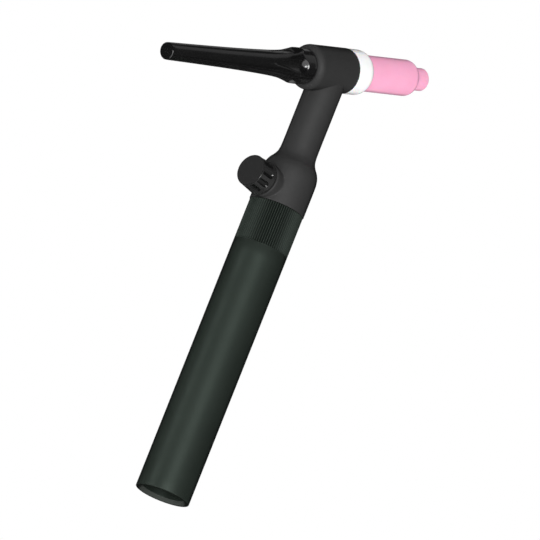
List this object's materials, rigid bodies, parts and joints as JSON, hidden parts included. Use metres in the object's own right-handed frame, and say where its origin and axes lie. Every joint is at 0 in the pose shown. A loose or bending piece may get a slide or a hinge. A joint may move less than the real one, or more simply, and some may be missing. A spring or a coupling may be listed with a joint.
{
  "type": "tig welding torch",
  "caption": "Air-cooled TIG torch with a bent head, long fluted back cap, side gas valve knob, pink ceramic cup and straight tubular handle with a ribbed band.",
  "frame": {"origin": "centre of the handle's rear opening face", "axes": "+Z along the handle axis up to the head; +X to the side the nozzle points to, so the back cap leans to -X; the XZ plane is the bent body's plane of symmetry. The electrode axis crosses the handle axis at z = 0.2319 m and points to (sin 70 deg, 0, cos 70 deg)."},
  "size_m": [0.1837, 0.0286, 0.2603],
  "materials": {
    "handle_moulding": "moulded glass-filled plastic, satin, faint greenish dark grey",
    "body_moulding": "over-moulded heat-resistant insulation, fine matt texture, dark grey",
    "cap_moulding": "glossy black phenolic moulding",
    "knob_moulding": "glossy black phenolic moulding with a satin face",
    "brass": "machined brass, fine turning marks",
    "copper": "machined copper, lightly oxidised",
    "steel": "turned stainless steel",
    "tungsten": "ground tungsten, satin",
    "alumina": "fired pink alumina, satin",
    "ptfe": "white PTFE, smooth",
    "seal_rubber": "black fluoroelastomer rings",
    "handle_ring_rubber": "black rubber rings",
    "fibre": "red vulcanised fibre washer"
  },
  "bodies": {
    "torch_body": {"body_insulation": "body_moulding", "head_sleeve": "brass", "neck_tube": "copper", "valve_block": "brass", "valve_gland": "brass", "gland_washer": "fibre", "tail_tube": "copper", "cable_connector": "brass", "collet_body": "copper", "handle_retaining_rings": "handle_ring_rubber"},
    "handle": {"handle_tube": "handle_moulding"},
    "cap_seal": {"back_cap_o_ring": "seal_rubber"},
    "back_cap": {"back_cap": "cap_moulding", "cap_insert": "brass"},
    "collet": {"collet": "copper"},
    "electrode": {"electrode": "tungsten"},
    "cup_gasket": {"cup_gasket": "ptfe"},
    "nozzle": {"nozzle": "alumina"},
    "stem_seal": {"valve_stem_o_ring": "seal_rubber"},
    "valve_spindle": {"valve_stem": "steel", "valve_knob": "knob_moulding", "knob_insert": "brass"}
  },
  "joints": [
    {"name": "handle_slide", "type": "slide", "parent": "torch_body", "child": "handle", "axis": [0, 0, -1], "range_m": [0, 0.12]},
    {"name": "cap_travel", "type": "slide", "parent": "torch_body", "child": "cap_seal", "axis": [-0.9397, 0, -0.342], "range_m": [0, 0.0075]},
    {"name": "cap_turn", "type": "hinge", "parent": "cap_seal", "child": "back_cap", "pos_m": [-0.02349, 0, 0.22335], "axis": [-0.9397, 0, -0.342], "range_deg": [0, 1810]},
    {"name": "collet_release", "type": "slide", "parent": "torch_body", "child": "collet", "axis": [-0.9397, 0, -0.342], "range_m": [0, 0.00082]},
    {"name": "electrode_feed", "type": "slide", "parent": "collet", "child": "electrode", "axis": [0.9397, 0, 0.342], "range_m": [0, 0.012]},
    {"name": "cup_travel", "type": "slide", "parent": "torch_body", "child": "cup_gasket", "axis": [0.9397, 0, 0.342], "range_m": [0, 0.0116]},
    {"name": "cup_turn", "type": "hinge", "parent": "cup_gasket", "child": "nozzle", "pos_m": [0.03759, 0, 0.24558], "axis": [0.9397, 0, 0.342], "range_deg": [0, 1450]},
    {"name": "valve_travel", "type": "slide", "parent": "torch_body", "child": "stem_seal", "axis": [-1, 0, 0], "range_m": [0, 0.0012]},
    {"name": "valve_turn", "type": "hinge", "parent": "stem_seal", "child": "valve_spindle", "pos_m": [-0.02, 0, 0.1646], "axis": [-1, 0, 0], "range_deg": [0, 545]}
  ],
  "couplings": [
    {"joint": "cap_turn", "follows": "cap_travel", "rad_per_m": 4188.8},
    {"joint": "collet_release", "follows": "cap_travel", "ratio": 0.10667},
    {"joint": "cup_turn", "follows": "cup_travel", "rad_per_m": 2166.6},
    {"joint": "valve_turn", "follows": "valve_travel", "rad_per_m": 7854}
  ]
}
